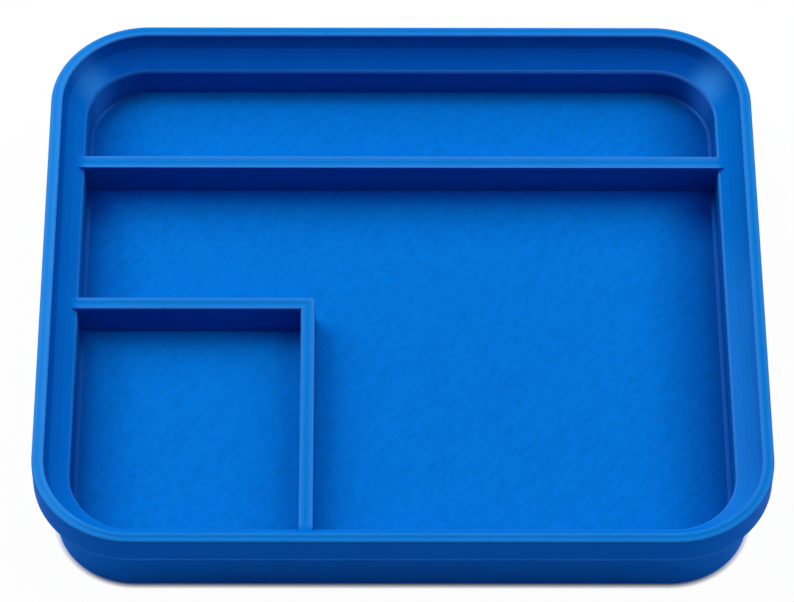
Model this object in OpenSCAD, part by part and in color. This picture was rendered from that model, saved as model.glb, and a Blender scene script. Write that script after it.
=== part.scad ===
// Stackable magnetic parts tray: a printed shell with a stepped rim, two press-in dividers,
// and disc magnets held under the floor by a screwed base cover.
// +Z is up, +X is right and -Y is the front. The origin is the middle of the underside.

/* [Tray] */
// Overall width, left to right
tray_w = 135; // [115:1:200]
// Overall depth, front to back
tray_d = 120; // [105:1:200]
// Outer corner radius, seen from above
corner_r = 18.5; // [14:0.5:26]
// Depth of the compartments, from the rim to the floor
inner_depth = 12; // [9:0.5:24]
// Thickness of the lower wall, between the foot's outside and the compartments
wall_t = 3; // [2:0.1:4.5]

/* [Stacking rim] */
// Thickness of the rim along its flat top
rim_t = 2.1; // [1.4:0.1:3]
// Height of the rim's inner wall, above the shoulder
rim_wall_h = 2.9; // [2:0.1:4]
// How far the rim's inner wall leans in, from its top to the shoulder
rim_draft = 0.9; // [0.2:0.1:1.5]
// Fall of the sloping shoulder that a second tray stands on
shoulder_drop = 3; // [2:0.1:4]
// Height of the wide band round the outside of the rim
band_h = 6; // [4:0.1:7]
// Sideways clearance of a nested tray's foot in the rim
stack_gap = 0.7; // [0.3:0.1:1.2]
// Chamfer round the bottom edge of the foot
foot_chamfer = 0.6; // [0.2:0.1:1.2]

/* [Dividers] */
// Thickness of both dividers
divider_t = 2.7; // [1.6:0.1:4]
// Distance from the rim's top down to the dividers' tops
divider_drop = 4.8; // [4.2:0.1:7]
// Clear depth of the rear compartment, front to back
rear_bay_d = 21.7; // [16:0.1:30]
// Clear width of the front left compartment
corner_bay_w = 41.8; // [25:0.1:60]
// Clear depth of the front left compartment, front to back
corner_bay_d = 48.6; // [30:0.1:60]
// Depth of the grooves that the dividers are pressed into
seat_depth = 1; // [0.5:0.1:1.2]

/* [Magnets] */
// Diameter of a disc magnet
magnet_d = 12; // [8:0.5:14]
// Thickness of a disc magnet
magnet_t = 4; // [2:0.5:6]
// Edge chamfer of a disc magnet
magnet_chamfer = 0.3; // [0.1:0.1:0.6]
// Magnets in a row, left to right
magnet_cols = 5; // [3:1:6]
// Rows of magnets, front to back
magnet_rows = 4; // [3:1:5]
// Plastic left between the outer magnets and the outside of the foot
magnet_edge = 5.8; // [4.5:0.1:8]
// Plastic left between a magnet pocket and the tray's floor
floor_skin = 1.8; // [1.5:0.1:3]

/* [Base cover] */
// Thickness of the cover under the magnets
cover_t = 2; // [1.8:0.1:3]
// Width of the foot's rim outside the cover
cover_edge = 2.2; // [1.6:0.1:3]
// Diameter of the cover screws
screw_d = 3; // [2:0.1:3.2]
// Diameter of a countersunk screw head
screw_head_d = 5.6; // [5:0.1:6]
// Size of the screws' hexagon socket, across flats
socket_af = 2; // [1.3:0.1:2.2]
// Depth of the screws' hexagon socket
socket_depth = 1; // [0.6:0.1:1.4]
// Plastic left between a screw's tip and the bottom of a divider's groove
screw_skin = 1; // [0.6:0.1:2]

/* [Fits] */
// Clearance of the dividers in their grooves and against the walls, and of the cover in its recess
fit_gap = 0.15; // [0.05:0.05:0.3]
// Clearance round a magnet in its pocket
pocket_gap = 0.1; // [0.05:0.05:0.3]
// Room above a magnet in its pocket
pocket_head = 0.2; // [0.1:0.1:0.5]
// Clearance round a screw's shank
screw_gap = 0.05; // [0.02:0.01:0.1]

/* [Hidden] */
$fn = 96;
plastic_blue = "#0b6fd0";
magnet_grey = "#c9ccd1";
screw_grey = "#6f747a";
// How far a cutting shape runs past the face it cuts
cut_over = 1;

floor_z = cover_t + magnet_t + pocket_head + floor_skin;
tray_h = floor_z + inner_depth;

// Insets are measured inwards from the tray's outer face
shoulder_inset = rim_t + rim_draft;
foot_inset = shoulder_inset + stack_gap;
wall_inset = foot_inset + wall_t;
cover_inset = foot_inset + cover_edge;

shoulder_z = tray_h - rim_wall_h;
wall_top_z = shoulder_z - shoulder_drop;
band_z = tray_h - band_h;
divider_z = tray_h - divider_drop;
seat_z = floor_z - seat_depth;

inner_x = tray_w / 2 - wall_inset;
inner_y = tray_d / 2 - wall_inset;
rear_divider_y = inner_y - rear_bay_d - divider_t / 2;
corner_divider_x = -inner_x + corner_bay_w + divider_t / 2;
corner_divider_y = -inner_y + corner_bay_d + divider_t / 2;

magnet_pitch_x = (tray_w - 2 * (foot_inset + magnet_edge) - magnet_d) / (magnet_cols - 1);
magnet_pitch_y = (tray_d - 2 * (foot_inset + magnet_edge) - magnet_d) / (magnet_rows - 1);
magnet_total = magnet_cols * magnet_rows;
// Screws stand between the two outer rows and the two outer columns of magnets, and midway across
screw_x = magnet_pitch_x * (magnet_cols - 2) / 2;
screw_y = magnet_pitch_y * (magnet_rows - 2) / 2;
screw_l = seat_z - screw_skin;
screw_head_h = (screw_head_d - screw_d) / 2;

function two_digits(n) = n < 10 ? str("0", n) : str(n);
function magnet_name(i) = str("magnet_", two_digits(i + 1));
function magnet_x(i) = (i % magnet_cols - (magnet_cols - 1) / 2) * magnet_pitch_x;
function magnet_y(i) = ((magnet_rows - 1) / 2 - floor(i / magnet_cols)) * magnet_pitch_y;

// Where the inside of the shoulder lies at a height, measured from the tray's outer face
function shoulder_inset_at(z) =
    shoulder_inset + (shoulder_z - z) * (wall_inset - shoulder_inset) / shoulder_drop;

// A divider's end from its foot up, as [inset, height]: upright on the lower wall, then out over the shoulder
divider_end = concat(
    [[wall_inset, seat_z], [wall_inset, min(wall_top_z, divider_z)]],
    divider_z > wall_top_z ? [[shoulder_inset_at(divider_z), divider_z]] : []
);

// The same end as points along a divider, where half is half of the tray's size in that direction
function near_end(half) = [for (p = divider_end) [p[0] + fit_gap - half, p[1]]];
function far_end(half) = [for (i = [len(divider_end) - 1 : -1 : 0])
    [half - fit_gap - divider_end[i][0], divider_end[i][1]]];

// Rounded rectangle that runs round the tray at an inset from its outer face
module tray_outline(inset) {
    w = tray_w - 2 * inset;
    d = tray_d - 2 * inset;
    r = corner_r - inset;
    square([w - 2 * r, d], center = true);
    square([w, d - 2 * r], center = true);
    for (x = [-1, 1], y = [-1, 1])
        translate([x * (w / 2 - r), y * (d / 2 - r)])
            circle(r);
}

// Section through the wall, with x measured outwards from the middle of a corner's curve
module wall_section() {
    function at(inset, z) = [corner_r - inset, z];
    polygon([
        at(foot_inset + foot_chamfer, 0),
        at(foot_inset, foot_chamfer),
        at(foot_inset, band_z - foot_inset),
        at(0, band_z),
        at(0, tray_h),
        at(rim_t, tray_h),
        at(shoulder_inset, shoulder_z),
        at(wall_inset, wall_top_z),
        at(wall_inset, 0)
    ]);
}

// The wall section carried round the tray: four straight runs and four quarter turns
module wall_ring() {
    straight_x = tray_w / 2 - corner_r;
    straight_y = tray_d / 2 - corner_r;
    for (side = [0 : 3]) {
        reach = side % 2 == 0 ? straight_x : straight_y;
        half_run = side % 2 == 0 ? straight_y : straight_x;
        rotate(90 * side)
            translate([reach, half_run, 0]) {
                rotate([90, 0, 0])
                    linear_extrude(2 * half_run)
                        wall_section();
                rotate_extrude(angle = 90)
                    wall_section();
            }
    }
}

module at_magnets() {
    for (i = [0 : magnet_total - 1])
        translate([magnet_x(i), magnet_y(i), 0])
            children();
}

module at_screws() {
    for (x = [-screw_x, 0, screw_x], y = [-screw_y, screw_y])
        translate([x, y, 0])
            children();
}

// Grooves in the floor: one across the tray for the rear divider, two that meet for the corner divider
module divider_seats() {
    seat_w = divider_t + 2 * fit_gap;
    seat_h = seat_depth + cut_over;
    corner_reach_x = corner_divider_x + seat_w / 2;
    corner_reach_y = corner_divider_y + seat_w / 2;
    translate([-inner_x, rear_divider_y - seat_w / 2, seat_z])
        cube([2 * inner_x, seat_w, seat_h]);
    translate([-inner_x, corner_divider_y - seat_w / 2, seat_z])
        cube([corner_reach_x + inner_x, seat_w, seat_h]);
    translate([corner_divider_x - seat_w / 2, -inner_y, seat_z])
        cube([seat_w, corner_reach_y + inner_y, seat_h]);
}

// Shell with the stepped wall, the floor, and the magnet pockets that open downwards
module tray_body() {
    color(plastic_blue)
        difference() {
            union() {
                wall_ring();
                linear_extrude(floor_z)
                    tray_outline(foot_inset + wall_t / 2);
            }
            translate([0, 0, -cut_over])
                linear_extrude(cover_t + cut_over)
                    tray_outline(cover_inset);
            at_magnets()
                cylinder(d = magnet_d + 2 * pocket_gap, h = cover_t + magnet_t + pocket_head);
            at_screws()
                cylinder(d = screw_d + 2 * screw_gap, h = screw_l + screw_gap);
            divider_seats();
        }
}

// Plate that closes the magnet pockets, flush with the foot
module base_cover() {
    color(plastic_blue)
        difference() {
            linear_extrude(cover_t)
                tray_outline(cover_inset + fit_gap);
            at_screws() {
                translate([0, 0, -cut_over])
                    cylinder(d = screw_d + 2 * screw_gap, h = cover_t + 2 * cut_over);
                cylinder(d1 = screw_head_d, d2 = screw_d, h = screw_head_h);
            }
        }
}

// Countersunk screw with a hexagon socket, head down and flush with the cover
module cover_screw() {
    difference() {
        rotate_extrude()
            polygon([
                [0, 0],
                [screw_head_d / 2, 0],
                [screw_d / 2, screw_head_h],
                [screw_d / 2, screw_l],
                [0, screw_l]
            ]);
        translate([0, 0, -cut_over])
            cylinder(d = socket_af / cos(30), h = socket_depth + cut_over, $fn = 6);
    }
}

module cover_screws() {
    color(screw_grey)
        at_screws()
            cover_screw();
}

// Straight divider across the whole tray
module rear_divider() {
    color(plastic_blue)
        translate([0, rear_divider_y + divider_t / 2, 0])
            rotate([90, 0, 0])
                linear_extrude(divider_t)
                    polygon(concat(near_end(tray_w / 2), far_end(tray_w / 2)));
}

// Divider arm along +X from a wall, where half is half of the tray's size and stop is its plain end
module divider_arm(half, stop) {
    translate([0, divider_t / 2, 0])
        rotate([90, 0, 0])
            linear_extrude(divider_t)
                polygon(concat(near_end(half), [[stop, divider_z], [stop, seat_z]]));
}

// One-piece L-shaped divider round the front left compartment
module corner_divider() {
    color(plastic_blue) {
        translate([0, corner_divider_y, 0])
            divider_arm(tray_w / 2, corner_divider_x + divider_t / 2);
        translate([corner_divider_x, 0, 0])
            rotate(90)
                divider_arm(tray_d / 2, corner_divider_y + divider_t / 2);
    }
}

// Disc magnet number i, standing on the cover
module magnet(i) {
    r = magnet_d / 2;
    color(magnet_grey)
        translate([magnet_x(i), magnet_y(i), cover_t])
            rotate_extrude()
                polygon([
                    [0, 0],
                    [r - magnet_chamfer, 0],
                    [r, magnet_chamfer],
                    [r, magnet_t - magnet_chamfer],
                    [r - magnet_chamfer, magnet_t],
                    [0, magnet_t]
                ]);
}

tray_body();
base_cover();
cover_screws();
rear_divider();
corner_divider();
for (i = [0 : magnet_total - 1])
    magnet(i);
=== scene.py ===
"""Looks of a stackable magnetic parts tray: printed shell, two dividers, magnets and a screwed cover."""

import math

import bmesh
import bpy
from bpy.props import FloatProperty, FloatVectorProperty, IntProperty, PointerProperty
from bpy.types import Operator, Panel, PropertyGroup
from mathutils import Matrix, Vector


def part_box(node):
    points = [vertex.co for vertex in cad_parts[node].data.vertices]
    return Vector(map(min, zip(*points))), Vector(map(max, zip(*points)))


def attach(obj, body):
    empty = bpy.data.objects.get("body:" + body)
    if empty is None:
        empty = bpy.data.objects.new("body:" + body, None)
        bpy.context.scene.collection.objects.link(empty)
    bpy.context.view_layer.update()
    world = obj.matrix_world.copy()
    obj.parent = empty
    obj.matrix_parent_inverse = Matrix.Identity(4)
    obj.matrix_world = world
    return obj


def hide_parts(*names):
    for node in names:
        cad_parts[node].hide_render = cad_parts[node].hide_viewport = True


bl_info = {
    "name": "Magnetic parts tray",
    "version": (1, 0, 0),
    "blender": (4, 5, 0),
    "location": "3D View > Sidebar > Parts tray",
    "description": "Models a printed stacking tray with dividers, and its studio stage",
    "category": "Add Mesh",
}

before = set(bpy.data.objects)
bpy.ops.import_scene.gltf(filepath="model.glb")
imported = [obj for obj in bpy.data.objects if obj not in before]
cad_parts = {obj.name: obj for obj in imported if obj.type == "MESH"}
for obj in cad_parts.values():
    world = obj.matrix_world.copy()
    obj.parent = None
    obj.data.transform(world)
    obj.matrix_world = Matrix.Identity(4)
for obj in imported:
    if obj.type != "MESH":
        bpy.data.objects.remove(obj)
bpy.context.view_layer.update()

MM = 0.001
MAGNETS = sorted(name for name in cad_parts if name.startswith("magnet_"))
WHITE = (1.0, 1.0, 1.0, 1.0)
ALONG_X, ALONG_Y, UPRIGHT = Matrix.Identity(3)
# Share of a diagonal step that lies along X or along Y
DIAGONAL = math.sqrt(0.5)
# Two points closer than this are one point
SAME_PLACE = 0.002 * MM
# Faces that meet at more than this angle have a sharp edge between them
SHARP_ANGLE = math.radians(38)
# Steps across a rounded edge, and sides of a magnet's pocket and of a screw's hole
ROUND_STEPS = 4
POCKET_SIDES = 48
PILOT_SIDES = 24
# A face looks straight along an axis where its normal's share of that axis is past this
STRAIGHT = 0.9
# Shares of Z in the normals of floors, of tops with their rounded edges, of slopes and of upright walls
FLOOR_UP = 0.8
TOP_UP = 0.4
SLOPE_UP = 0.7
WALL_UP = 0.1
# Share of X in the normals of a bead's sides
BEAD_TILT = 0.05
# Noise of the plastic's mottling and of the metal's fine grain
MOTTLING = {"Scale": 90.0, "Detail": 3.0, "Roughness": 0.6}
GRAIN_DETAIL = 4.0
GRAIN_DEPTH = 0.005 * MM
GRAIN_STRENGTH = 0.3
# How far the mottling and the grain change the roughness
ROUGH_SPREAD = 0.2
# Soft lamps round the back of the tray, from its left side to its right side, with headings in degrees
LAMP_HEADINGS = (-90, -60, -30, 30, 60, 100)
LAMP_LEVELS = (0.08, 0.26, 0.255, 0.145, 0.19, 0.13)


def number_prop(name, description, default, **kind):
    """A number of some kind."""
    return FloatProperty(name=name, description=description, default=default, **kind)


def length_prop(name, description, millimetres):
    """A size, given in millimetres and kept in metres."""
    return number_prop(name, description, millimetres * MM, unit="LENGTH", precision=5)


def amount_prop(name, description, default):
    """An amount of 0 or more."""
    return number_prop(name, description, default, min=0.0)


def share_prop(name, description, default):
    """A share from 0 to 1."""
    return number_prop(name, description, default, subtype="FACTOR", min=0.0, max=1.0)


def angle_prop(name, description, degrees):
    """An angle, kept in radians and shown in degrees."""
    return number_prop(name, description, math.radians(degrees), subtype="ANGLE")


def row_prop(name, description, default, **kind):
    """A row of numbers of some kind."""
    size = len(default)
    return FloatVectorProperty(name=name, description=description, default=default, size=size, **kind)


def colour_prop(name, description, default):
    """A linear colour."""
    return row_prop(name, description, default, subtype="COLOR")


class TraySizes(PropertyGroup):
    """Sizes of the shell and the dividers. Outer sizes and the dividers' places come from the frame."""

    corner_r: length_prop("Corner radius", "Outer corner radius, seen from above", 18.5)
    inner_depth: length_prop("Inner depth", "From the rim's top down to the floor", 12)
    wall_t: length_prop("Wall", "Thickness of the lower wall", 3)
    rim_t: length_prop("Rim", "Thickness of the rim along its top", 2.1)
    rim_draft: length_prop("Rim draft", "How far the rim's inner wall leans in", 0.9)
    rim_wall_h: length_prop("Rim wall", "Height of the rim's inner wall", 2.9)
    shoulder_drop: length_prop("Shoulder", "Fall of the sloping shoulder", 3)
    band_h: length_prop("Band", "Height of the wide band round the rim", 6)
    stack_gap: length_prop("Stacking gap", "Clearance of a nested tray's foot", 0.7)
    foot_chamfer: length_prop("Foot chamfer", "Chamfer round the bottom edge", 0.6)
    cover_t: length_prop("Cover recess", "Depth of the recess for the base cover", 2)
    cover_edge: length_prop("Foot edge", "Width of the foot outside the base cover", 2.2)
    pocket_gap: length_prop("Pocket gap", "Clearance round a magnet, with twice that above it", 0.1)
    pilot_r: length_prop("Pilot hole", "Radius of a cover screw's hole in the shell", 1.55)
    seat_gap: length_prop("Seat gap", "Clearance of a pressed-in divider", 0.02)
    edge_round: length_prop("Edge rounding", "Rounding of the shell's printed edges", 0.32)
    shoulder_round: length_prop("Shoulder rounding", "Rounding of the shoulder's inner edge", 0.6)
    divider_round: length_prop("Divider rounding", "Rounding of a divider's top edges", 0.35)
    groove_w: length_prop("Top groove width", "Width of the groove along a printed top", 0.7)
    groove_depth: length_prop("Top groove depth", "Depth of the groove along a printed top", 0.1)
    bead_inset: length_prop("Bead inset", "From the foot of a wall to the bead's middle", 0.6)
    bead_w: length_prop("Bead width", "Width of the bead round each floor", 0.8)
    bead_h: length_prop("Bead height", "Height of the bead round each floor", 0.07)
    corner_steps: IntProperty(name="Corner steps", description="Steps in a quarter turn", default=24)


class PrintFinish(PropertyGroup):
    """Colours and print marks of the plastic, with its painted highlights and painted shade, and the looks
    of the magnets and the screws.
    """

    # Colours of the plastic, several of them painted highlights and painted shade, as noted
    plastic: colour_prop("Plastic", "The printed plastic", (0.001, 0.173, 0.67))
    # Painted highlight: the tops are a lighter copy of the plastic, for the light that they catch
    top_plastic: colour_prop("Tops", "The rim's and the dividers' tops", (0.006, 0.21, 0.71))
    seam_plastic: colour_prop("Seams", "The seam along a printed top", (0.005, 0.178, 0.6))
    # Painted highlights: the pale top edges, the shoulder's edge and the sheen stand in for light caught by
    # edges and faces
    pale_plastic: colour_prop("Pale edges", "A printed top's rubbed edges", (0.034, 0.225, 0.73))
    edge_plastic: colour_prop("Shoulder edge", "The shoulder's rubbed edge", (0.035, 0.245, 0.8))
    sheen_plastic: colour_prop("Sheen", "Highlit faces", (0.036, 0.31, 0.9))
    # Painted shade: darker copies of the plastic for the upright inner faces, the back shoulder and the
    # back rim wall
    upright_plastic: colour_prop("Uprights", "The upright inner faces", (0.0008, 0.14, 0.5))
    back_plastic: colour_prop("Back shoulder", "The shoulder at the back", (0.0015, 0.134, 0.68))
    shade_plastic: colour_prop("Back rim wall", "The rim's inner wall at the back", (0.0005, 0.1, 0.52))
    # Painted highlight along the floor's bead, and painted shade on the floor beside the walls
    bead_plastic: colour_prop("Bead", "The bead round the floor", (0.016, 0.14, 0.57))
    shaded_plastic: colour_prop("Deep plastic", "The floor beside the walls", (0.0005, 0.087, 0.42))
    # Painted light: the foot and the band are lit and shaded copies of the plastic, set for the light that
    # reaches them
    outer_plastic: colour_prop("Foot", "The foot", (0.0005, 0.185, 0.83))
    band_plastic: colour_prop("Band", "The band round the rim", (0.0003, 0.152, 0.77))
    # Painted bounce light: bluer floor colours at the feet of the dividers, and how far they reach
    rear_bounce: colour_prop("Rear foot", "The floor before the rear divider", (0.001, 0.14, 0.9))
    bay_bounce: colour_prop("Bay foot", "The floor before the corner divider", (0.001, 0.26, 1.0))
    bounce_share: share_prop("Foot share", "Share of those two colours right at the dividers", 0.6)
    bounce_reach: length_prop("Foot reach", "How far those two colours reach", 5.5)

    # Printed lines and grain
    layer_h: length_prop("Layer height", "Height of one printed layer", 0.2)
    line_w: length_prop("Line width", "Width of one printed line", 0.42)
    line_depth: length_prop("Line depth", "Depth of the grooves between printed lines", 0.02)
    bed_depth: share_prop("Bed depth", "Share of that depth on the underside", 0.25)
    outline_w: length_prop("Floor outline", "Width of the printed outline round each floor", 0.9)
    layer_streak: share_prop("Layer streaks", "How much stacked layers differ in tone", 0.08)
    top_streak: share_prop("Top streaks", "How much the lines on a printed top differ in tone", 0.06)
    floor_streak: share_prop("Floor streaks", "How much the floor's lines differ in tone", 0.04)
    bed_streak: share_prop("Bed streaks", "How much the underside's lines differ in tone", 0.05)
    mottle: share_prop("Mottling", "Strength of the plastic's mottling", 0.12)
    floor_mottle: share_prop("Floor mottling", "Strength of the mottling on the floor", 0.46)
    grain_l: amount_prop("Grain length", "Length of the floor's mottling, against the plain one", 0.2)
    grain_w: amount_prop("Grain width", "Width of the floor's mottling, against the plain one", 0.08)
    roughness: share_prop("Roughness", "Mean roughness of the plastic", 0.42)
    gloss: share_prop("Gloss", "Specular level of the plastic", 0.002)
    silk: share_prop("Silk", "Share of the light that comes back as a coloured, silky gloss", 0.05)

    # Painted highlights: places that go over to the painted sheen or to a paler colour
    band_highlight: share_prop("Highlit band", "Share of the sheen along the band's lower edge", 0.42)
    front_highlight: share_prop("Highlit front", "Share of the pale colour left on the rim's front edges", 0.3)
    rim_highlight: share_prop("Highlit left rim", "Share of the sheen on the left rim's top", 0.35)
    edge_highlight: row_prop("Highlit edge", "Share of the shoulder edge's colour, left and right", (0.45, 1.2))
    highlight_left: share_prop("Highlit left corner", "Share of the sheen in the back left corner", 0.62)
    highlight_right: share_prop("Highlit right corner", "Share of the sheen in the back right corner", 0.95)
    highlight_reach: length_prop("Highlit reach", "Radius of the patches in the back corners", 6)
    highlight_turn: angle_prop("Highlit turn", "Where those patches lie, from the side towards the back", 36)
    side_highlight: share_prop("Highlit side", "Share of the sheen along the right side's slopes", 0.25)
    side_fade: row_prop(
        "Highlit side's end", "Along Y, where that share starts to fade and where it is gone",
        (-10 * MM, 20 * MM), unit="LENGTH",
    )

    # Painted shade: places that go over to a darker colour where shade falls
    rim_shade: share_prop("Shaded left rim", "Share of the back's colour on the left rim's wall", 0.8)
    slope_shade: share_prop("Shaded left shoulder", "Share of the back's colour on it", 0.25)
    bead_shade: share_prop("Shaded bead", "Share of the deep colour along the left wall", 0.35)
    wall_reach: length_prop("Shaded wall", "How far it reaches round the front left corner", 4.625)
    wall_fade: row_prop(
        "Shaded wall's end", "Along Y, where the left wall's shade starts to fade and where it is gone",
        (-30 * MM, -10 * MM), unit="LENGTH",
    )
    left_shade: share_prop("Depth at left", "Share of the deep colour on the floor at the left", 0.8)
    left_reach: length_prop("Reach from left", "How far it reaches from the left wall", 14)
    right_shade: share_prop("Depth at right", "Share of the deep colour on the floor at the right", 1.0)
    right_reach: length_prop("Reach from right", "How far it reaches from the right wall", 17)
    rear_shade: share_prop("Depth at divider", "Share of the deep colour before the rear divider", 0.46)
    rear_reach: length_prop("Reach from divider", "How far it reaches from the rear divider", 16)
    corner_shade: amount_prop("Depth in corners", "How much deeper it is where two walls shade it", 2.2)

    # Metal
    nickel: colour_prop("Nickel", "The magnets' plating", (0.62, 0.6, 0.56))
    nickel_rough: share_prop("Nickel roughness", "Mean roughness of the magnets' plating", 0.22)
    nickel_grain: amount_prop("Nickel grain", "Scale of the grain on the magnets", 900.0)
    steel: colour_prop("Steel", "The cover screws", (0.3, 0.31, 0.33))
    steel_rough: share_prop("Steel roughness", "Mean roughness of the cover screws", 0.38)
    steel_grain: amount_prop("Steel grain", "Scale of the grain on the cover screws", 2500.0)


class StageLook(PropertyGroup):
    """Camera, lamps and floor."""

    aim: row_prop(
        "Aim", "Point that the camera looks at", (-0.96 * MM, -4.16 * MM, 16.94 * MM), subtype="XYZ"
    )
    distance: length_prop("Distance", "From the aim to the camera", 818)
    elevation: angle_prop("Elevation", "Camera's height above the horizon", 53.71)
    heading: angle_prop("Heading", "Camera's turn about the tray's upright", -0.68)
    roll: angle_prop("Roll", "Camera's turn about its own line of sight", 0.61)
    lens: number_prop("Lens", "Focal length", 198.1, unit="CAMERA")
    lamp_headings: row_prop(
        "Lamp headings", "Where the soft lamps stand, from the back towards +X",
        [math.radians(heading) for heading in LAMP_HEADINGS], unit="ROTATION",
    )
    lamp_levels: row_prop("Lamp levels", "Light of each lamp on a level white face", LAMP_LEVELS, min=0.0)
    lamp_height: angle_prop("Lamp height", "Height of the soft lamps above the horizon", 45)
    lamp_distance: length_prop("Lamp distance", "From the tray to each soft lamp", 950)
    lamp_w: length_prop("Lamp width", "Width of each soft lamp", 480)
    lamp_h: length_prop("Lamp size upwards", "Upright size of each soft lamp", 800)
    ambient: amount_prop("Ambient", "Level of the even light from all round", 0.0)
    floor: colour_prop("Floor", "The floor", (0.95, 0.95, 0.95))
    floor_lift: share_prop("Floor lift", "How far the floor is lifted to white for the camera", 0.97)
    floor_reach: length_prop("Floor reach", "Half of the floor's width", 4000)
    floor_drop: length_prop("Floor drop", "Gap between the tray and the floor", 0.1)
    contact_reach: length_prop("Contact shadow", "Reach of the shadow round the tray's foot", 1.05)
    contact_depth: amount_prop("Contact depth", "How quickly the contact shadow darkens", 2.5)


class Tray:
    """The tray's settings, with the insets from its outer face and the heights above its standing floor."""

    def __init__(self):
        self.sizes = sizes = bpy.context.scene.tray_sizes
        self.finish = bpy.context.scene.tray_finish
        self.half_x, self.half_y, self.top_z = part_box("tray_body")[1]
        self.shoulder_inset = sizes.rim_t + sizes.rim_draft
        self.foot_inset = self.shoulder_inset + sizes.stack_gap
        self.wall_inset = self.foot_inset + sizes.wall_t
        self.cover_inset = self.foot_inset + sizes.cover_edge
        self.floor_z = self.top_z - sizes.inner_depth
        self.band_z = self.top_z - sizes.band_h
        self.shoulder_z = self.top_z - sizes.rim_wall_h
        self.wall_top_z = self.shoulder_z - sizes.shoulder_drop
        self.inner_x = self.half_x - self.wall_inset
        self.inner_y = self.half_y - self.wall_inset
        rear_low, rear_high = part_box("rear_divider")
        self.seat_z = rear_low.z
        self.divider_z = rear_high.z
        self.divider_t = rear_high.y - rear_low.y
        # Front face of the rear divider, and the corner divider's faces towards its bay
        self.rear_y = rear_low.y
        corner_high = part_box("corner_divider")[1]
        self.bay_x = corner_high.x - self.divider_t
        self.bay_y = corner_high.y - self.divider_t
        # Low and high corners of each straight divider run, seen from above and carried to the wall
        self.runs = {
            "rear": ((-self.inner_x, rear_low.y), (self.inner_x, rear_high.y)),
            "corner_across": ((-self.inner_x, self.bay_y), (corner_high.x, corner_high.y)),
            "corner_along": ((self.bay_x, -self.inner_y), (corner_high.x, corner_high.y)),
        }
        # How far a divider's top reaches out over the shoulder, past the lower wall
        slope = (self.wall_inset - self.shoulder_inset) / sizes.shoulder_drop
        self.ear = (self.divider_z - self.wall_top_z) * slope


def near(value, target):
    return abs(value - target) < SAME_PLACE


def at_height(item, height):
    """True where every vertex of a face or an edge lies at a height."""
    return all(near(vert.co.z, height) for vert in item.verts)


def level_faces(bm, height):
    return [face for face in bm.faces if at_height(face, height)]


def open_edges(bm, height):
    return [edge for edge in bm.edges if edge.is_boundary and at_height(edge, height)]


def only(kind, geometry):
    return [item for item in geometry if isinstance(item, kind)]


def everything(bm):
    return [*bm.verts, *bm.edges, *bm.faces]


def carry(bm, extruded, offset):
    """Moves what an extrusion made, and gives its vertices and edges."""
    verts = only(bmesh.types.BMVert, extruded["geom"])
    bmesh.ops.translate(bm, verts=verts, vec=offset)
    return verts, only(bmesh.types.BMEdge, extruded["geom"])


def push_faces(bm, faces, offset):
    """Extrudes faces by an offset and leaves no face behind inside."""
    extruded = bmesh.ops.extrude_face_region(bm, geom=faces)
    carry(bm, extruded, offset)
    bmesh.ops.delete(bm, geom=faces, context="FACES")


def inset(bm, faces, thickness):
    """Insets a region of faces and gives the ring of new faces round it."""
    made = bmesh.ops.inset_region(
        bm, faces=faces, thickness=thickness, use_even_offset=True, use_boundary=True
    )
    return made["faces"]


def round_off(bm, geometry, offset, affect):
    """Rounds edges or vertices."""
    bmesh.ops.bevel(
        bm, geom=geometry, offset=offset, offset_type="OFFSET",
        segments=ROUND_STEPS, profile=0.5, affect=affect, material=-1,
    )


def cut_across(bm, geometry, place, axis):
    """Cuts geometry square to an axis, at a place along it, and keeps both sides."""
    bmesh.ops.bisect_plane(bm, geom=geometry, dist=SAME_PLACE, plane_co=place * axis, plane_no=axis)


def new_object(bm, name, materials):
    """Turns a bmesh into an object with its materials."""
    mesh = bpy.data.meshes.new(name)
    bm.to_mesh(mesh)
    bm.free()
    for material in materials:
        mesh.materials.append(material)
    made = bpy.data.objects.new(name, mesh)
    bpy.context.scene.collection.objects.link(made)
    return made


def finish_piece(bm, name, node, materials, pick):
    """Turns a bmesh into a smooth-shaded piece that stands for a node of the frame."""
    bmesh.ops.recalc_face_normals(bm, faces=bm.faces)
    bm.normal_update()
    order = list(materials)
    for face in bm.faces:
        face.material_index = order.index(pick(face))
    piece = new_object(bm, name, materials.values())
    piece.data.set_sharp_from_angle(angle=SHARP_ANGLE)
    weighted = piece.modifiers.new("Even shading", "WEIGHTED_NORMAL")
    weighted.keep_sharp = True
    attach(piece, "root")
    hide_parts(node)


def wall_profile(tray):
    """The wall's section, from the cover's recess round to the floor: inset, height and rounding."""
    sizes = tray.sizes
    middle = sizes.rim_t / 2
    groove = sizes.groove_w / 2
    soft = sizes.groove_w / 4
    edge = sizes.edge_round
    return [
        (tray.cover_inset, sizes.cover_t, 0),
        (tray.cover_inset, 0, 0),
        (tray.foot_inset + sizes.foot_chamfer, 0, 0),
        (tray.foot_inset, sizes.foot_chamfer, 0),
        (tray.foot_inset, tray.band_z - tray.foot_inset, 0),
        (0, tray.band_z, edge),
        (0, tray.top_z, edge),
        (middle - groove, tray.top_z, soft),
        (middle, tray.top_z - sizes.groove_depth, soft),
        (middle + groove, tray.top_z, soft),
        (sizes.rim_t, tray.top_z, edge),
        (tray.shoulder_inset, tray.shoulder_z, 0),
        (tray.wall_inset, tray.wall_top_z, sizes.shoulder_round),
        (tray.wall_inset, tray.floor_z, 0),
    ]


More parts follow.
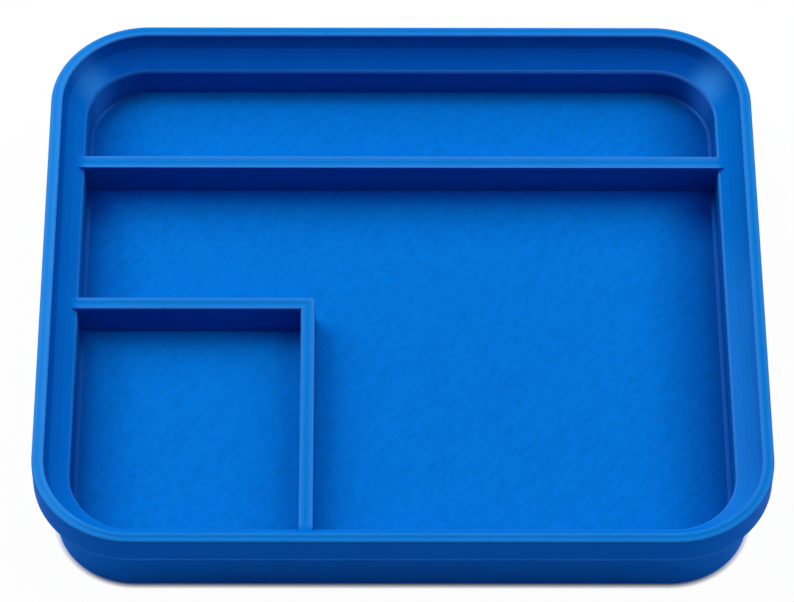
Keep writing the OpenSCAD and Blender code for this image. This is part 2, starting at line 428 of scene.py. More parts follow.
def sweep_wall(bm, tray):
    """Carries the wall's section round the tray: four straight runs and four quarter turns."""
    reach_x = tray.half_x - tray.sizes.corner_r
    reach_y = tray.half_y - tray.sizes.corner_r
    points = wall_profile(tray)
    verts = [bm.verts.new((tray.half_x - inwards, -reach_y, z)) for inwards, z, _ in points]
    for pair in zip(verts, verts[1:]):
        bm.edges.new(pair)
    for vert, (_, _, rounding) in zip(verts, points):
        if rounding:
            round_off(bm, [vert], rounding, "VERTICES")
    section = bm.edges[:]
    runs = [(0, 2 * reach_y), (-2 * reach_x, 0), (0, -2 * reach_y), (2 * reach_x, 0)]
    corners = [(reach_x, reach_y), (-reach_x, reach_y), (-reach_x, -reach_y), (reach_x, -reach_y)]
    for run, corner in zip(runs, corners):
        extruded = bmesh.ops.extrude_edge_only(bm, edges=section)
        verts, edges = carry(bm, extruded, (*run, 0))
        turned = bmesh.ops.spin(
            bm, geom=verts + edges, cent=(*corner, 0), axis=UPRIGHT,
            angle=math.pi / 2, steps=tray.sizes.corner_steps, use_merge=False, use_duplicate=False,
        )
        section = only(bmesh.types.BMEdge, turned["geom_last"])
    bmesh.ops.remove_doubles(bm, verts=bm.verts, dist=SAME_PLACE)


def fill_floor(bm, tray):
    """Closes the floor and presses the dividers' grooves into it."""
    bmesh.ops.edgeloop_fill(bm, edges=open_edges(bm, tray.floor_z))
    margin = Vector((tray.sizes.seat_gap, tray.sizes.seat_gap))
    grooves = [(Vector(low) - margin, Vector(high) + margin) for low, high in tray.runs.values()]

    def cut_floor(place, reach, axis):
        if abs(place) < reach - SAME_PLACE:
            faces = level_faces(bm, tray.floor_z)
            edges = {edge for face in faces for edge in face.edges}
            verts = {vert for face in faces for vert in face.verts}
            cut_across(bm, [*faces, *edges, *verts], place, axis)

    for groove in grooves:
        for corner in groove:
            cut_floor(corner.x, tray.inner_x, ALONG_X)
        for corner in groove:
            cut_floor(corner.y, tray.inner_y, ALONG_Y)

    def in_groove(face):
        middle = face.calc_center_bounds()
        return any(low.x < middle.x < high.x and low.y < middle.y < high.y for low, high in grooves)

    sunk = [face for face in level_faces(bm, tray.floor_z) if in_groove(face)]
    if not sunk:
        raise RuntimeError("The tray's floor did not close")
    push_faces(bm, sunk, (0, 0, tray.seat_z - tray.floor_z))


def raise_bead(bm, tray):
    """Raises the low bead that the printer leaves round each floor, a little in from walls and dividers."""
    sizes = tray.sizes
    floors = level_faces(bm, tray.floor_z)
    half = sizes.bead_w / 2
    inset(bm, floors, sizes.bead_inset - half)
    rings = [inset(bm, floors, half) for _ in range(2)]
    outer, inner = ({vert for face in ring for vert in face.verts} for ring in rings)
    bmesh.ops.translate(bm, verts=list(outer & inner), vec=(0, 0, sizes.bead_h))


def round_hole(bm, middle, radius, low, high, segments):
    """A blind hole's wall and end, and the edges of its mouth."""
    place = Matrix.Translation((middle.x, middle.y, low))
    ring = bmesh.ops.create_circle(bm, segments=segments, radius=radius, matrix=place)
    mouth = list({edge for vert in ring["verts"] for edge in vert.link_edges})
    extruded = bmesh.ops.extrude_edge_only(bm, edges=mouth)
    end = carry(bm, extruded, (0, 0, high - low))[1]
    bmesh.ops.edgeloop_fill(bm, edges=[edge for edge in end if at_height(edge, high)])
    return mouth


def screw_places():
    """Middles of the cover screws' tips, from the group's box: three across, two deep."""
    low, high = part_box("cover_screws")
    head_r = screw_head_r()
    xs = (low.x + head_r, (low.x + high.x) / 2, high.x - head_r)
    ys = (low.y + head_r, high.y - head_r)
    return [Vector((x, y, high.z)) for x in xs for y in ys]


def screw_head_r():
    """Radius of a screw's head, measured on the group's middle screws at their lowest face."""
    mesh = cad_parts["cover_screws"].data
    low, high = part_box("cover_screws")
    middle = (low.x + high.x) / 2
    reach = [abs(vert.co.x - middle) for vert in mesh.vertices if near(vert.co.z, low.z)]
    return max(r for r in reach if r < (high.x - low.x) / 4)


def fill_underside(bm, sizes):
    """Closes the roof of the cover's recess, with the magnets' pockets and the screws' holes."""
    roof, gap = sizes.cover_t, sizes.pocket_gap
    edges = open_edges(bm, roof)
    for name in MAGNETS:
        low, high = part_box(name)
        radius = (high.x - low.x) / 2 + gap
        edges += round_hole(bm, (low + high) / 2, radius, roof, high.z + 2 * gap, POCKET_SIDES)
    for tip in screw_places():
        edges += round_hole(bm, tip, sizes.pilot_r, roof, tip.z + gap / 2, PILOT_SIDES)
    bmesh.ops.triangle_fill(bm, use_beauty=True, use_dissolve=False, edges=edges, normal=-UPRIGHT)


def model_shell():
    """The printed shell, with its floor, rim and underside as separate finishes."""
    tray = Tray()
    sizes = tray.sizes
    bm = bmesh.new()
    sweep_wall(bm, tray)
    fill_floor(bm, tray)
    raise_bead(bm, tray)
    fill_underside(bm, sizes)
    materials = {
        "shoulder": layered_plastic("printed_shoulder", tray, shoulder_tint),
        "rim wall": layered_plastic("printed_rim_wall", tray, rim_wall_tint),
        "lower wall": layered_plastic("printed_lower_wall", tray, lower_wall_tint),
        "outside": layered_plastic("printed_outside", tray, outside_tint),
        "floor": floor_material(tray),
        "bead": layered_plastic("printed_bead", tray, bead_tint),
        "rim": top_material("printed_rim", tray, rim_tint, distance_to_tray),
        # The shoulder's inner edge carries a painted highlight
        "edge": layered_plastic("printed_edge", tray, edge_tint),
        "bed": bed_material(tray),
    }
    left_x = sizes.bead_inset + sizes.bead_w - tray.inner_x

    def pick(face):
        middle = face.calc_center_median()
        up = face.normal.z
        if up > FLOOR_UP and middle.z < tray.floor_z + sizes.bead_h:
            by_wall = middle.x > 0 or middle.x < left_x or middle.y > tray.rear_y
            return "bead" if by_wall and abs(face.normal.x) > BEAD_TILT else "floor"
        if up > TOP_UP and middle.z > tray.top_z - sizes.edge_round:
            return "rim"
        if WALL_UP < up < SLOPE_UP and abs(middle.z - tray.wall_top_z) < sizes.shoulder_round / 2:
            return "edge"
        if up < -STRAIGHT:
            return "bed"
        if face.normal.dot(middle) > 0:
            return "outside"
        if middle.z > tray.shoulder_z:
            return "rim wall"
        return "shoulder" if up > SLOPE_UP else "lower wall"

    finish_piece(bm, "tray_shell", "tray_body", materials, pick)


def divider_bar(bm, low, high):
    """A plain upright bar between two corners."""
    low, high = Vector(low), Vector(high)
    place = Matrix.Translation((low + high) / 2) @ Matrix.Diagonal((*(high - low), 1))
    bmesh.ops.create_cube(bm, size=1.0, matrix=place)


def spread_ear(bm, tray, axis, end):
    """Moves a divider's top out over the shoulder, where the divider ends along X or Y."""
    verts = [v for v in bm.verts if near(v.co.dot(axis), end) and near(v.co.z, tray.divider_z)]
    bmesh.ops.translate(bm, verts=verts, vec=math.copysign(tray.ear, end) * axis)


def past_wall(place, tray):
    """True over the shoulder, outside the lower wall's inner face."""
    return abs(place.x) > tray.inner_x or abs(place.y) > tray.inner_y


def crown_top(bm, tray):
    """Rounds a divider's top edges and sinks a groove along the middle of its top."""
    sizes = tray.sizes
    tops = level_faces(bm, tray.divider_z)
    border = [
        edge for edge in {edge for face in tops for edge in face.edges}
        if sum(face in tops for face in edge.link_faces) == 1
        and not all(past_wall(vert.co, tray) for vert in edge.verts)
    ]
    round_off(bm, border, sizes.divider_round, "EDGES")
    crest_w = tray.divider_t / 2 - sizes.divider_round - sizes.groove_w / 2
    slope_w = sizes.groove_w / 3
    inner = level_faces(bm, tray.divider_z)
    for thickness in (crest_w, slope_w):
        inset(bm, inner, thickness)
    sunk = {vert for face in inner for vert in face.verts}
    bmesh.ops.translate(bm, verts=list(sunk), vec=(0, 0, -sizes.groove_depth))


def finish_divider(bm, name, node, tray):
    """A divider with layer lines on its sides and printed lines along its top."""
    crown_top(bm, tray)
    for axis, reach in ((ALONG_X, tray.inner_x), (ALONG_Y, tray.inner_y)):
        for place in (-reach, reach):
            cut_across(bm, everything(bm), place, axis)
    materials = {
        # The sides are a darker copy of the plastic, a painted shade
        "side": layered_plastic("printed_upright", tray, plain(tray.finish.upright_plastic)),
        "top": top_material("printed_divider_top", tray, divider_top_tint, distance_to_dividers),
        "ear": layered_plastic("printed_ear", tray, plain(tray.finish.plastic)),
    }

    def pick(face):
        middle = face.calc_center_median()
        if middle.z > tray.divider_z - tray.sizes.divider_round and face.normal.z > TOP_UP:
            return "top"
        return "ear" if past_wall(middle, tray) else "side"

    finish_piece(bm, name, node, materials, pick)


def model_rear_divider():
    """The straight divider across the tray."""
    tray = Tray()
    gap = tray.sizes.seat_gap
    (low_x, low_y), (high_x, high_y) = tray.runs["rear"]
    ends = (low_x + gap, high_x - gap)
    bm = bmesh.new()
    divider_bar(bm, (ends[0], low_y, tray.seat_z), (ends[1], high_y, tray.divider_z))
    cut_across(bm, everything(bm), tray.wall_top_z, UPRIGHT)
    for end in ends:
        spread_ear(bm, tray, ALONG_X, end)
    finish_divider(bm, "rear_divider_wall", "rear_divider", tray)


def model_corner_divider():
    """The one-piece L-shaped divider: a bar from the left wall, and an arm pulled forwards from its end."""
    tray = Tray()
    gap = tray.sizes.seat_gap
    (low_x, low_y), (high_x, high_y) = tray.runs["corner_across"]
    (arm_x, arm_y), _ = tray.runs["corner_along"]
    wall_end = low_x + gap
    front_end = arm_y + gap
    bm = bmesh.new()
    divider_bar(bm, (wall_end, low_y, tray.seat_z), (high_x, high_y, tray.divider_z))
    cut_across(bm, everything(bm), arm_x, ALONG_X)
    root = [f for f in bm.faces if f.normal.y < -STRAIGHT and f.calc_center_median().x > arm_x]
    push_faces(bm, root, (0, front_end - low_y, 0))
    cut_across(bm, everything(bm), tray.wall_top_z, UPRIGHT)
    spread_ear(bm, tray, ALONG_X, wall_end)
    spread_ear(bm, tray, ALONG_Y, front_end)
    finish_divider(bm, "corner_divider_wall", "corner_divider", tray)


class Field:
    """A node's output, for use in formulas. A formula adds the nodes that work it out."""

    def __init__(self, socket):
        self.socket = socket
        self.tree = socket.id_data

    def __add__(self, other):
        return maths("ADD", self, other)

    def __sub__(self, other):
        return maths("SUBTRACT", self, other)

    def __mul__(self, other):
        return maths("MULTIPLY", self, other)

    def __abs__(self):
        return maths("ABSOLUTE", self)


def outputs_of(node):
    """A node's outputs by name. Where several have one name, the first of them counts."""
    return {socket.name: Field(socket) for socket in reversed(node.outputs.values())}


def feed(socket, value):
    """Links an output to a socket, or sets the socket to a plain value."""
    if isinstance(value, Field):
        value.tree.links.new(value.socket, socket)
    else:
        socket.default_value = value


def add_node(kind, inputs, tree=None, **settings):
    """Adds a node and gives its outputs by name. Unless a tree is given, it goes where its inputs are."""
    if tree is None:
        tree = next(value.tree for value in inputs.values() if isinstance(value, Field))
    node = tree.nodes.new("ShaderNode" + kind)
    for name, value in settings.items():
        setattr(node, name, value)
    for name, value in inputs.items():
        feed(node.inputs[name], value)
    return outputs_of(node)


def maths(operation, *values):
    return add_node("Math", dict(enumerate(values)), operation=operation)["Value"]


def vector_maths(operation, *values):
    output = "Value" if operation in ("LENGTH", "DOT_PRODUCT") else "Vector"
    return add_node("VectorMath", dict(enumerate(values)), operation=operation)[output]


def larger(value, other):
    return maths("MAXIMUM", value, other)


def smaller(value, other):
    return maths("MINIMUM", value, other)


def split(vector):
    """The X, Y and Z of a vector."""
    parts = add_node("SeparateXYZ", {"Vector": vector})
    return parts["X"], parts["Y"], parts["Z"]


def flat_length(x, y):
    """Length of a level vector."""
    return vector_maths("LENGTH", add_node("CombineXYZ", {"X": x, "Y": y})["Vector"])


def eased(value, low, high, from_level, to_level):
    """Goes smoothly from one level to another while a value goes from low to high."""
    inputs = {"Value": value, "From Min": low, "From Max": high, "To Min": from_level, "To Max": to_level}
    return add_node("MapRange", inputs, interpolation_type="SMOOTHSTEP")["Result"]


def blend(share, colour, other):
    """A colour, plain or from a node, that goes over to a plain one by a share from 0 to 1."""
    if isinstance(colour, Field):
        change = vector_maths("SUBTRACT", Vector(other), colour)
    else:
        colour = Vector(colour)
        change = Vector(other) - colour
    return vector_maths("MULTIPLY_ADD", share, change, colour)


def shader_group(name, inputs, outputs, build):
    """A node group made once. Build gets its inputs by name, and gives its outputs by name."""
    group = bpy.data.node_groups.get(name)
    if group:
        return group
    group = bpy.data.node_groups.new(name, "ShaderNodeTree")
    for in_out, sockets in (("INPUT", inputs), ("OUTPUT", outputs)):
        for label, kind in sockets.items():
            group.interface.new_socket(name=label, in_out=in_out, socket_type="NodeSocket" + kind)
    source = group.nodes.new("NodeGroupInput")
    sink = group.nodes.new("NodeGroupOutput")
    for label, value in build(outputs_of(source)).items():
        feed(sink.inputs[label], value)
    return group


def outline_distance(position, middle, half_size, corner):
    """Distance outwards from a rounded rectangle, seen from above. It is negative inside."""

    def build(given):
        from_middle = vector_maths("SUBTRACT", given["Position"], given["Middle"])
        past = vector_maths("SUBTRACT", vector_maths("ABSOLUTE", from_middle), given["Half size"])
        x, y = (side + given["Corner"] for side in split(past)[:2])
        outside = flat_length(larger(x, 0.0), larger(y, 0.0))
        inside = smaller(larger(x, y), 0.0)
        return {"Distance": outside + inside - given["Corner"]}

    sockets = {"Position": "Vector", "Middle": "Vector", "Half size": "Vector", "Corner": "Float"}
    group = shader_group("Outline distance", sockets, {"Distance": "Float"}, build)
    inputs = dict(zip(sockets, (position, middle, half_size, corner)))
    return add_node("Group", inputs, node_tree=group)["Distance"]


def printed_lines(coordinate, width):
    """Round-backed printed lines side by side along a coordinate, each with a tone of its own."""

    def build(given):
        count = maths("DIVIDE", given["Coordinate"], given["Width"])
        arch = maths("SINE", maths("FRACT", count) * math.pi)
        tone = add_node("TexWhiteNoise", {"W": maths("FLOOR", count)}, noise_dimensions="1D")["Value"]
        return {"Height": arch, "Tone": tone}

    sockets = {"Coordinate": "Float", "Width": "Float"}
    group = shader_group("Printed lines", sockets, {"Height": "Float", "Tone": "Float"}, build)
    return add_node("Group", {"Coordinate": coordinate, "Width": width}, node_tree=group)


def plastic_tone(**inputs):
    """Colour and roughness of printed plastic: soft mottling, and lines that differ a little."""

    def build(given):
        cloud = add_node("TexNoise", {"Vector": given["Position"], **MOTTLING})["Fac"] - 0.5
        streak = given["Tone"] - 0.5
        level = cloud * given["Mottle"] + streak * given["Streak"] + 1.0
        rough = given["Roughness"] + cloud * ROUGH_SPREAD
        return {"Colour": vector_maths("MULTIPLY", given["Colour"], level), "Roughness": rough}

    sockets = {
        "Colour": "Color", "Position": "Vector", "Tone": "Float",
        "Mottle": "Float", "Streak": "Float", "Roughness": "Float",
    }
    group = shader_group("Plastic tone", sockets, {"Colour": "Color", "Roughness": "Float"}, build)
    return add_node("Group", inputs, node_tree=group)


def corner_highlight(position, tray):
    """Share of the painted highlight in the back corners, in a patch on each that covers every face over
    and under it.
    """
    finish, corner_r = tray.finish, tray.sizes.corner_r
    radius = corner_r - (tray.shoulder_inset + tray.wall_inset) / 2
    middle_x = tray.half_x - corner_r + radius * math.cos(finish.highlight_turn)
    middle_y = tray.half_y - corner_r + radius * math.sin(finish.highlight_turn)

    def build(given):
        x, y, _ = split(given["Position"])
        from_middle = flat_length(abs(x) - middle_x, y - middle_y)
        patch = eased(from_middle, 0.0, finish.highlight_reach, 1.0, 0.0)
        return {"Share": patch * eased(x, -middle_x, middle_x, finish.highlight_left, finish.highlight_right)}

    group = shader_group("Highlit corners", {"Position": "Vector"}, {"Share": "Float"}, build)
    return add_node("Group", {"Position": position}, node_tree=group)["Share"]


def new_material(name):
    """A new material, its shader's inputs and the position on the object."""
    material = bpy.data.materials.new(name)
    material.use_nodes = True
    tree = material.node_tree
    position = add_node("TexCoord", {}, tree)["Object"]
    return material, tree.nodes["Principled BSDF"].inputs, position


def printed_plastic(name, tray, tint, coordinate, width, streak, depth=1.0, grain=None):
    """Printed plastic whose lines follow a coordinate. Tint, coordinate and grain work on the position.

    Depth is a share of the line depth. A grain draws out the position for the floor's mottling.
    """
    material = bpy.data.materials.get(name)
    if material:
        return material
    material, shader, position = new_material(name)
    finish = tray.finish
    lines = printed_lines(coordinate(position, tray), width)
    tone = plastic_tone(
        Colour=tint(position, tray), Tone=lines["Tone"], Streak=streak, Roughness=finish.roughness,
        Position=grain(position, tray) if grain else position,
        Mottle=finish.floor_mottle if grain else finish.mottle,
    )
    grooves = {"Strength": 1.0, "Distance": finish.line_depth * depth, "Height": lines["Height"]}
    feed(shader["Specular IOR Level"], finish.gloss)
    feed(shader["Metallic"], finish.silk)
    feed(shader["Base Color"], tone["Colour"])
    feed(shader["Roughness"], tone["Roughness"])
    feed(shader["Normal"], add_node("Bump", grooves)["Normal"])
    return material


def layered_plastic(name, tray, tint):
    """Plastic with its printed layers stacked upwards."""
    finish = tray.finish
    return printed_plastic(name, tray, tint, height_above, finish.layer_h, finish.layer_streak)


def top_material(name, tray, tint, coordinate):
    """Plastic with printed lines that run along the rim's or the dividers' tops."""
    finish = tray.finish
    return printed_plastic(name, tray, tint, coordinate, finish.line_w, finish.top_streak)


def floor_material(tray):
    """Plastic with diagonal printed lines, inside an outline that follows the walls and the dividers."""
    finish = tray.finish
    return printed_plastic(
        "printed_floor", tray, floor_tint, floor_lines,
        finish.line_w, finish.floor_streak, grain=floor_grain,
    )


def bed_material(tray):
    """Plastic that was printed against a smooth bed, with flat diagonal lines."""
    finish = tray.finish
    return printed_plastic(
        "printed_underside", tray, plain(finish.plastic), bed_lines,
        finish.line_w, finish.bed_streak, finish.bed_depth,
    )


def height_above(position, tray):
    """Height above the floor that the tray stands on."""
    return split(position)[2]


def distance_to_tray(position, tray):
    """Distance outwards from the tray's outer face."""
    half_size = (tray.half_x, tray.half_y, 0.0)
    return outline_distance(position, (0.0, 0.0, 0.0), half_size, tray.sizes.corner_r)


def distance_from_wall(position, tray):
    """Distance inwards from the foot of the lower wall."""
    return distance_to_tray(position, tray) * -1.0 - tray.wall_inset


def distance_to_dividers(position, tray):
    """Distance outwards from the nearest divider, whose runs go on past the walls, where no line shows."""
    nearest = None
    for (low_x, low_y), (high_x, high_y) in tray.runs.values():
        low_x -= tray.wall_inset * near(low_x, -tray.inner_x)
        high_x += tray.wall_inset * near(high_x, tray.inner_x)
        low_y -= tray.wall_inset * near(low_y, -tray.inner_y)
        middle = ((low_x + high_x) / 2, (low_y + high_y) / 2, 0.0)
        half_size = ((high_x - low_x) / 2, (high_y - low_y) / 2, 0.0)
        distance = outline_distance(position, middle, half_size, 0.0)
        nearest = distance if nearest is None else smaller(nearest, distance)
    return nearest


def bed_lines(position, tray):
    """Distance across the underside's diagonal lines."""
    return vector_maths("DOT_PRODUCT", position, (DIAGONAL, DIAGONAL, 0.0))


def floor_lines(position, tray):
    """Distance across the floor's diagonal lines and, in the outline, from the nearest wall or divider."""
    diagonal = vector_maths("DOT_PRODUCT", position, (DIAGONAL, -DIAGONAL, 0.0))
    from_edge = smaller(distance_from_wall(position, tray), distance_to_dividers(position, tray))
    in_outline = maths("LESS_THAN", from_edge, tray.finish.outline_w)
    return add_node("Mix", {"Factor": in_outline, "A": diagonal, "B": from_edge})["Result"]


def floor_grain(position, tray):
    """The position, drawn out along the floor's lines."""
    scale = (tray.finish.grain_l, tray.finish.grain_w, 1.0)
    inputs = {"Vector": position, "Rotation": (0.0, 0.0, math.pi / 4), "Scale": scale}
    return add_node("Mapping", inputs, vector_type="TEXTURE")["Vector"]


def share_at_left(x, tray, share):
    """A share along the left wall, which is gone a little way in."""
    return eased(x, -tray.inner_x, tray.wall_inset - tray.inner_x, share, 0.0)


def share_before(y, wall_y, reach, share):
    """A share that grows towards a divider's front face, and is 0 behind it."""
    return eased(y, wall_y - reach, wall_y, 0.0, share) * maths("LESS_THAN", y, wall_y)


def plain(colour):
    """The same colour all over."""
    return lambda position, tray: (*colour, 1.0)


def outside_tint(position, tray):
    """Foot and band, lit and shaded copies of the plastic, with a painted highlight along the band's lower
    edge.
    """
    finish = tray.finish
    above = height_above(position, tray) - tray.band_z
    on_band = eased(above, 0.0, finish.line_w, 0.0, 1.0)
    on_edge = eased(abs(above), 0.0, 2 * finish.line_w, finish.band_highlight, 0.0)
    colour = blend(on_band, finish.outer_plastic, finish.band_plastic)
    return blend(on_edge, colour, finish.sheen_plastic)


def shoulder_tint(position, tray):
    """Colour of the sloping shoulder."""
    return slope_tint(position, tray, tray.finish.back_plastic, tray.finish.slope_shade)


def rim_wall_tint(position, tray):
    """Colour of the rim's leaning inner wall."""
    return slope_tint(position, tray, tray.finish.shade_plastic, tray.finish.rim_shade)


def slope_tint(position, tray, back, left_share):
    """Colour of a slope inside: painted shade at the back and partly at the left, and a painted sheen in
    places.
    """
    finish = tray.finish
    x, y, _ = split(position)
    at_back = eased(y, tray.inner_y - tray.wall_inset, tray.inner_y, 0.0, 1.0)
    at_right = eased(x, tray.inner_x - tray.wall_inset, tray.inner_x, 0.0, finish.side_highlight)
    on_side = at_right * eased(y, *finish.side_fade, 1.0, 0.0)
    # Painted shade at the back and partly at the left
    shaded = larger(at_back, share_at_left(x, tray, left_share))
    # Painted sheen in the back corners and along the right side
    highlit = larger(corner_highlight(position, tray), on_side)
    return blend(highlit, blend(shaded, finish.plastic, back), finish.sheen_plastic)


def bead_tint(position, tray):
    """The bead's painted highlight, paler in the back corners, with painted shade at the left and before
    the rear divider.
    """
    finish = tray.finish
    x, y, _ = split(position)
    before_rear = share_before(y, tray.rear_y, finish.rear_reach, 1.0)
    shaded = larger(before_rear, share_at_left(x, tray, finish.bead_shade))
    colour = blend(shaded, finish.bead_plastic, finish.shaded_plastic)
    return blend(corner_highlight(position, tray), colour, finish.sheen_plastic)


def lower_wall_tint(position, tray):
    """Colour of the lower wall's inside, a painted shade, deeper at the front left, with a painted sheen in
    the back corners.
    """
    finish = tray.finish
    x, y, _ = split(position)
    at_left = eased(x, -tray.inner_x, finish.wall_reach - tray.inner_x, 1.0, 0.0)
    at_front = eased(y, *finish.wall_fade, 1.0, 0.0)
    colour = blend(at_left * at_front, finish.upright_plastic, finish.shaded_plastic)
    return blend(corner_highlight(position, tray), colour, finish.sheen_plastic)


def edge_tint(position, tray):
    """Painted highlight on the shoulder's inner edge, which is palest on the right."""
    finish = tray.finish
    highlit = eased(split(position)[0], -tray.half_x, tray.half_x, *finish.edge_highlight)
    return blend(highlit, finish.plastic, finish.edge_plastic)


def floor_tint(position, tray):
    """Colour of the floor: painted shade at the sides and by the rear divider, painted bounce light at the
    dividers' feet.
    """
    finish = tray.finish
    x, y, _ = split(position)
    left, right = -tray.inner_x, tray.inner_x
    at_left = eased(x, left, left + finish.left_reach, finish.left_shade, 0.0)
    at_right = eased(x, right - finish.right_reach, right, 0.0, finish.right_shade)
    at_side = larger(at_left, at_right)
    before_rear = share_before(y, tray.rear_y, finish.rear_reach, finish.rear_shade)
    # Painted shade is deepest where a side and the rear divider both shade the floor
    in_corner = at_side * before_rear * finish.corner_shade
    # Painted bounce light at the feet of the dividers
    rear_bounce = share_before(y, tray.rear_y, finish.bounce_reach, finish.bounce_share)
    bay_bounce = share_before(y, tray.bay_y, finish.bounce_reach, finish.bounce_share)
    in_bay = maths("LESS_THAN", x, tray.bay_x)
    colour = blend(larger(at_side, before_rear) + in_corner, finish.plastic, finish.shaded_plastic)
    colour = blend(rear_bounce, colour, finish.rear_bounce)
    return blend(bay_bounce * in_bay, colour, finish.bay_bounce)


def top_tint(distance, width, tray, highlit=1.0):
    """Colour of a printed top, lightened as a painted highlight, with the seam along its middle and painted
    highlights on its edges.
    """
    finish = tray.finish
    groove = tray.sizes.groove_w / 2
    off_middle = abs(distance + width / 2)
    seam = eased(off_middle, 0.0, groove, 1.0, 0.0)
    pale = eased(off_middle, groove, width / 2, 0.0, 1.0) * highlit
    colour = blend(seam, finish.top_plastic, finish.seam_plastic)
    return blend(pale, colour, finish.pale_plastic)


def rim_tint(position, tray):
    """Colour of the rim's top, with a painted sheen at the left and the weakest painted edge highlights at
    the front.
    """
    finish, corner_r = tray.finish, tray.sizes.corner_r
    x, y, _ = split(position)
    highlit = eased(y, -tray.half_y, corner_r - tray.half_y, finish.front_highlight, 1.0)
    at_left = eased(x, -tray.half_x, corner_r - tray.half_x, finish.rim_highlight, 0.0)
    colour = top_tint(distance_to_tray(position, tray), tray.sizes.rim_t, tray, highlit)
    return blend(at_left, colour, finish.sheen_plastic)


def divider_top_tint(position, tray):
    """Colour of the dividers' tops, which are plain on their ears."""
    colour = top_tint(distance_to_dividers(position, tray), tray.divider_t, tray)
    on_ear = eased(distance_from_wall(position, tray), -tray.ear / 2, tray.ear / 6, 1.0, 0.0)
    return blend(on_ear, colour, tray.finish.plastic)


def metal_material(name, colour, roughness, grain_scale):
    """Bare or plated metal with a fine uneven grain."""
    material, shader, position = new_material(name)
    noise = {"Vector": position, "Scale": grain_scale, "Detail": GRAIN_DETAIL}
    grain = add_node("TexNoise", noise)["Fac"]
    bump = {"Strength": GRAIN_STRENGTH, "Distance": GRAIN_DEPTH, "Height": grain}
    feed(shader["Base Color"], (*colour, 1.0))
    feed(shader["Metallic"], 1.0)
    feed(shader["Roughness"], maths("MULTIPLY_ADD", grain, ROUGH_SPREAD, roughness - ROUGH_SPREAD / 2))
    feed(shader["Normal"], add_node("Bump", bump)["Normal"])
    return material


def dress_node(name, material):
    """Gives a node of the frame a better material."""
    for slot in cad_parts[name].material_slots:
        slot.material = material


def seen_by_rays(tree):
    """1 for rays from the camera, and for those that a glossy or clear surface sends on."""
    path = add_node("LightPath", {}, tree)
    seen = larger(path["Is Camera Ray"], path["Is Glossy Ray"])
    return larger(seen, path["Is Transmission Ray"])


def mixed(share, shader, other):
    """A shader that goes over to another by a share."""
    return add_node("MixShader", {0: share, 1: shader, 2: other})["Shader"]


def make_floor(look):
    """A pale floor that the camera sees as white, with the tray's shadow on it."""
    material = bpy.data.materials.new("pale_floor")
    material.use_nodes = True
    tree = material.node_tree
    tree.nodes.clear()
    matt = add_node("BsdfDiffuse", {"Color": (*look.floor, 1.0)}, tree)["BSDF"]
    glow = add_node("Emission", {"Color": WHITE, "Strength": 1.0}, tree)["Emission"]
    open_sky = add_node("AmbientOcclusion", {"Distance": look.contact_reach}, tree)["AO"]
    lift = seen_by_rays(tree) * look.floor_lift * maths("POWER", open_sky, look.contact_depth)
    add_node("OutputMaterial", {"Surface": mixed(lift, matt, glow)})
    bm = bmesh.new()
    place = Matrix.Translation(-look.floor_drop * UPRIGHT)
    bmesh.ops.create_grid(bm, x_segments=1, y_segments=1, size=look.floor_reach, matrix=place)
    floor = new_object(bm, "stage_floor", [material])


def make_world(look):
    """Even light from all round, behind which the camera sees plain white."""
    world = bpy.data.worlds.new("studio")
    world.use_nodes = True
    tree = world.node_tree
    tree.nodes.clear()
    even, white = (
        add_node("Background", {"Color": WHITE, "Strength": level}, tree)["Background"]
        for level in (look.ambient, 1.0)
    )
    add_node("OutputWorld", {"Surface": mixed(seen_by_rays(tree), even, white)})
    bpy.context.scene.world = world


def make_lamps(look):
    """Large soft lamps in a half ring behind the tray, all at one height."""
    for number, (heading, level) in enumerate(zip(look.lamp_headings, look.lamp_levels), start=1):
        lamp = bpy.data.lights.new(f"soft_lamp_{number}", "AREA")
        lamp.shape = "RECTANGLE"
        lamp.size, lamp.size_y = look.lamp_w, look.lamp_h
        # The power at which a level white face sends back a radiance equal to the level
        lamp.energy = level * (math.pi * look.lamp_distance) ** 2 / math.sin(look.lamp_height)
        direction = Vector((0, math.cos(look.lamp_height), math.sin(look.lamp_height)))
        direction.rotate(Matrix.Rotation(-heading, 3, "Z"))
        stand = bpy.data.objects.new(lamp.name, lamp)
        stand.location = direction * look.lamp_distance
        stand.rotation_euler = direction.to_track_quat("Z", "Y").to_euler()
        bpy.context.scene.collection.objects.link(stand)


def make_camera(look):
    """The camera at the photograph's viewing angle."""
    camera = bpy.data.objects.new("camera", bpy.data.cameras.new("camera"))
    camera.data.sensor_fit = "HORIZONTAL"
    camera.data.lens = look.lens
    turn = (
        Matrix.Rotation(look.heading, 4, "Z")
        @ Matrix.Rotation(math.pi / 2 - look.elevation, 4, "X")
        @ Matrix.Rotation(look.roll, 4, "Z")
    )
    back = turn.to_3x3() @ UPRIGHT
    camera.matrix_world = Matrix.Translation(Vector(look.aim) + look.distance * back) @ turn
    bpy.context.scene.collection.objects.link(camera)
    bpy.context.scene.camera = camera


class TRAY_OT_stage(Operator):
    """Make the floor, the lamps, the white surround and the camera"""

    bl_idname = "parts_tray.stage"
    bl_label = "Stage"

    def execute(self, context):
        look = context.scene.tray_stage
        make_floor(look)
        make_world(look)
        make_lamps(look)
        make_camera(look)
        context.scene.view_settings.view_transform = "Standard"
        return {"FINISHED"}


class TRAY_OT_shell(Operator):
    """Model the printed shell with its stepped rim, its floor and its underside"""

    bl_idname = "parts_tray.shell"
    bl_label = "Shell"

    def execute(self, context):
        model_shell()
        return {"FINISHED"}


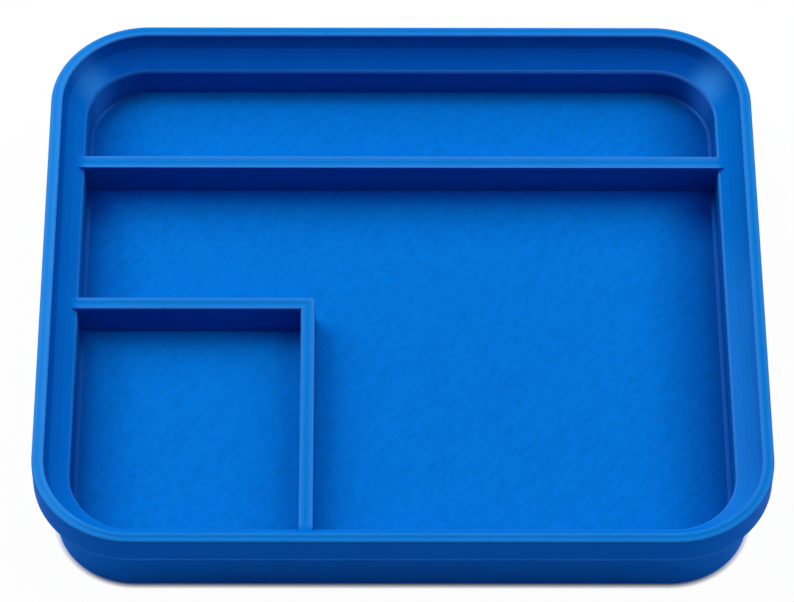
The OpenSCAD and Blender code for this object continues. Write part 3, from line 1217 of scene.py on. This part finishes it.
class TRAY_OT_dividers(Operator):
    """Model the straight rear divider and the L-shaped corner divider"""

    bl_idname = "parts_tray.dividers"
    bl_label = "Dividers"

    def execute(self, context):
        model_rear_divider()
        model_corner_divider()
        return {"FINISHED"}


class TRAY_OT_inner_parts(Operator):
    """Give the base cover, its screws and the magnets their finishes"""

    bl_idname = "parts_tray.inner_parts"
    bl_label = "Cover, screws and magnets"

    def execute(self, context):
        finish = context.scene.tray_finish
        steel = metal_material("screw_steel", finish.steel, finish.steel_rough, finish.steel_grain)
        nickel = metal_material("magnet_nickel", finish.nickel, finish.nickel_rough, finish.nickel_grain)
        dress_node("base_cover", bed_material(Tray()))
        dress_node("cover_screws", steel)
        for name in MAGNETS:
            dress_node(name, nickel)
        return {"FINISHED"}


class TRAY_PT_panel(Panel):
    """The tray's pieces and sizes"""

    bl_label = "Parts tray"
    bl_idname = "TRAY_PT_panel"
    bl_space_type = "VIEW_3D"
    bl_region_type = "UI"
    bl_category = "Parts tray"

    def draw(self, context):
        layout = self.layout
        for operator in OPERATORS:
            layout.operator(operator.bl_idname)
        for title, (holder, group) in HOLDERS.items():
            box = layout.box()
            box.label(text=title)
            settings = getattr(context.scene, holder)
            for name in group.__annotations__:
                box.prop(settings, name)


OPERATORS = (TRAY_OT_stage, TRAY_OT_shell, TRAY_OT_dividers, TRAY_OT_inner_parts)
HOLDERS = {
    "Sizes": ("tray_sizes", TraySizes),
    "Finish": ("tray_finish", PrintFinish),
    "Stage": ("tray_stage", StageLook),
}


def register():
    for name, group in HOLDERS.values():
        bpy.utils.register_class(group)
        setattr(bpy.types.Scene, name, PointerProperty(type=group))
    for cls in (*OPERATORS, TRAY_PT_panel):
        bpy.utils.register_class(cls)


def unregister():
    for cls in reversed((*OPERATORS, TRAY_PT_panel)):
        bpy.utils.unregister_class(cls)
    for name, group in reversed(HOLDERS.values()):
        delattr(bpy.types.Scene, name)
        bpy.utils.unregister_class(group)


def main():
    register()
    bpy.ops.parts_tray.stage()
    bpy.ops.parts_tray.shell()
    bpy.ops.parts_tray.dividers()
    bpy.ops.parts_tray.inner_parts()


if __name__ == "__main__":
    main()
